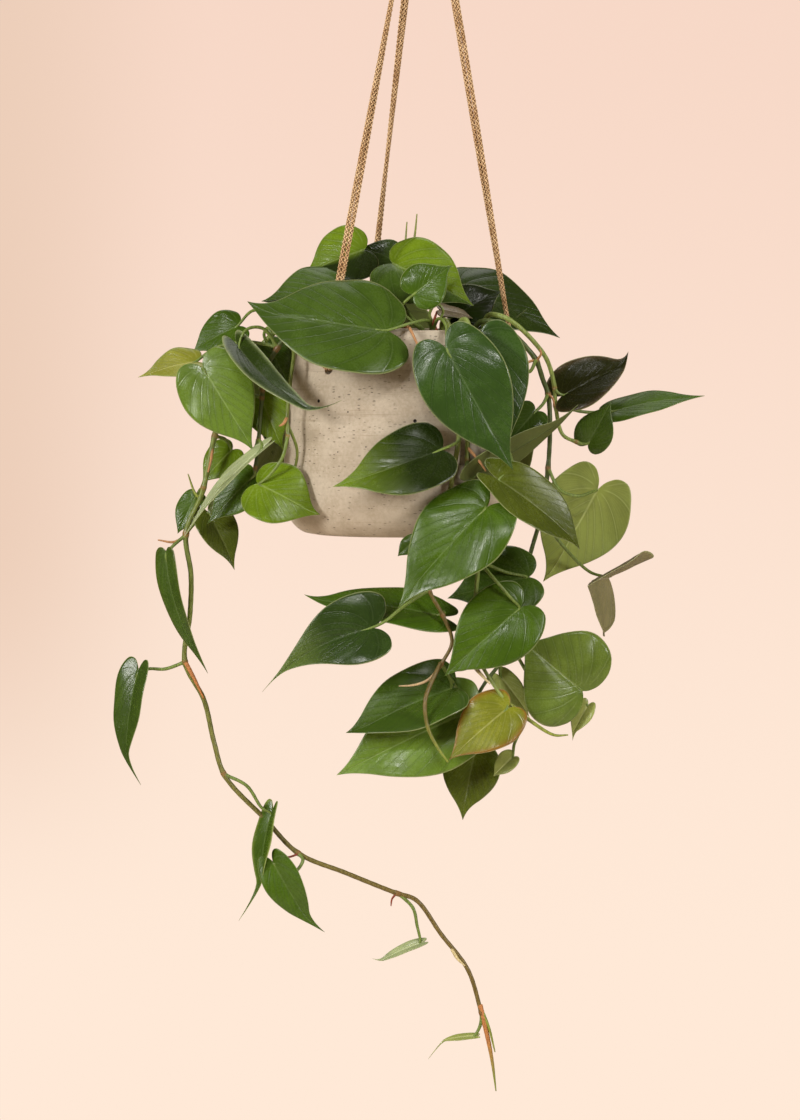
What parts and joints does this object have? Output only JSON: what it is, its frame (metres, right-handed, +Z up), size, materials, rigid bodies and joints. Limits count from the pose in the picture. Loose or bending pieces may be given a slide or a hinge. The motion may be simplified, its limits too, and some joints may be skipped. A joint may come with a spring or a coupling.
{
  "type": "potted heartleaf philodendron",
  "caption": "Trailing houseplant with glossy heart-shaped leaves in a speckled stoneware pot that hangs on doubled cords from a metal ring.",
  "frame": {"origin": "hanging point: the inner top of the metal ring above the cords", "axes": "+Z up, +X to the right of the picture, +Y away from the viewer"},
  "size_m": [0.4057, 0.2378, 0.9302],
  "materials": {
    "stoneware": "matte",
    "soil": "matte",
    "cord": "matte",
    "steel": "satin",
    "leaf": "satin"
  },
  "bodies": {
    "root": {"ceramic_pot": "stoneware", "potting_soil": "soil", "cord_right": "cord", "knot_right": "cord", "cord_back": "cord", "knot_back": "cord", "cord_left": "cord", "knot_left": "cord", "cord_wrap": "cord", "hanger_ring": "steel", "crown_back": "leaf", "crown_front": "leaf", "crown_right": "leaf", "vine_long": "leaf", "vine_left": "leaf", "vine_front": "leaf", "vine_middle": "leaf", "vine_right": "leaf", "vine_right_short": "leaf", "vine_back_right": "leaf", "vine_back_middle": "leaf", "vine_back_left": "leaf"}
  },
  "joints": []
}
